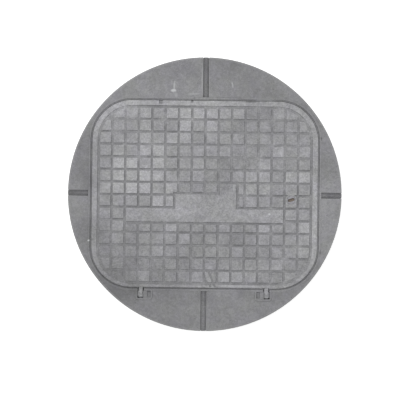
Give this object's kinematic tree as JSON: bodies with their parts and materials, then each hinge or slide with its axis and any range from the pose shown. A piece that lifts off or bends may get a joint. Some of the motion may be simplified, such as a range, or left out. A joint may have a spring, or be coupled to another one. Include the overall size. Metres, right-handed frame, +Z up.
{
  "type": "manhole cover",
  "caption": "Round access cover: a divided circular surround holds a frame with a hinged rounded-rectangular cast lid, tiled with small square studs, blank T-shaped panel and key-turned lock.",
  "frame": {"origin": "middle of the round underside, on the ground plane that the cover rests on", "axes": "+Z up through the walking surface, +Y from the hinge end towards the free end of the lid, +X to the right seen from above with the hinge at the bottom"},
  "size_m": [0.5998, 0.5998, 0.09],
  "materials": {
    "lid_iron": "worn grey cast iron with a fine sandy skin",
    "frame_iron": "worn grey cast iron",
    "plate_iron": "dark bitumen-dipped cast iron",
    "surround_concrete": "smooth grey concrete, slightly worn",
    "strip_filler": "dark grey joint mortar",
    "band_steel": "dull galvanized steel",
    "zinc_steel": "zinc-plated steel",
    "pin_steel": "plain bright steel",
    "cam_steel": "dull plated steel",
    "spindle_iron": "brown-stained cast iron",
    "insert_brass": "turned brass",
    "bush_brass": "turned brass",
    "seal_rubber": "matt black rubber"
  },
  "bodies": {
    "surround": {"base_plate": "plate_iron", "outer_band": "band_steel", "surround_segment_ne": "surround_concrete", "surround_segment_nw": "surround_concrete", "surround_segment_sw": "surround_concrete", "surround_segment_se": "surround_concrete", "joint_strip_east": "strip_filler", "joint_strip_north": "strip_filler", "joint_strip_west": "strip_filler", "joint_strip_south": "strip_filler", "segment_screws": "zinc_steel", "segment_inserts": "insert_brass", "anchor_sockets": "zinc_steel", "lid_frame": "frame_iron", "frame_bolts": "zinc_steel", "frame_washers": "zinc_steel", "lid_seal": "seal_rubber", "hinge_pin_left": "pin_steel", "hinge_pin_right": "pin_steel", "hinge_clips": "pin_steel"},
    "lid": {"lid": "lid_iron", "lock_bush": "bush_brass"},
    "lock": {"lock_spindle": "spindle_iron", "lock_washer": "zinc_steel", "lock_cam": "cam_steel", "lock_nut": "zinc_steel"}
  },
  "joints": [
    {"name": "lid_hinge", "type": "hinge", "parent": "surround", "child": "lid", "pos_m": [0, -0.21784, 0.0815], "axis": [1, 0, 0], "range_deg": [0, 105]},
    {"name": "lock_turn", "type": "hinge", "parent": "lid", "child": "lock", "pos_m": [0.18945, -0.0105, 0.06], "axis": [0, 0, -1], "range_deg": [0, 90]}
  ]
}
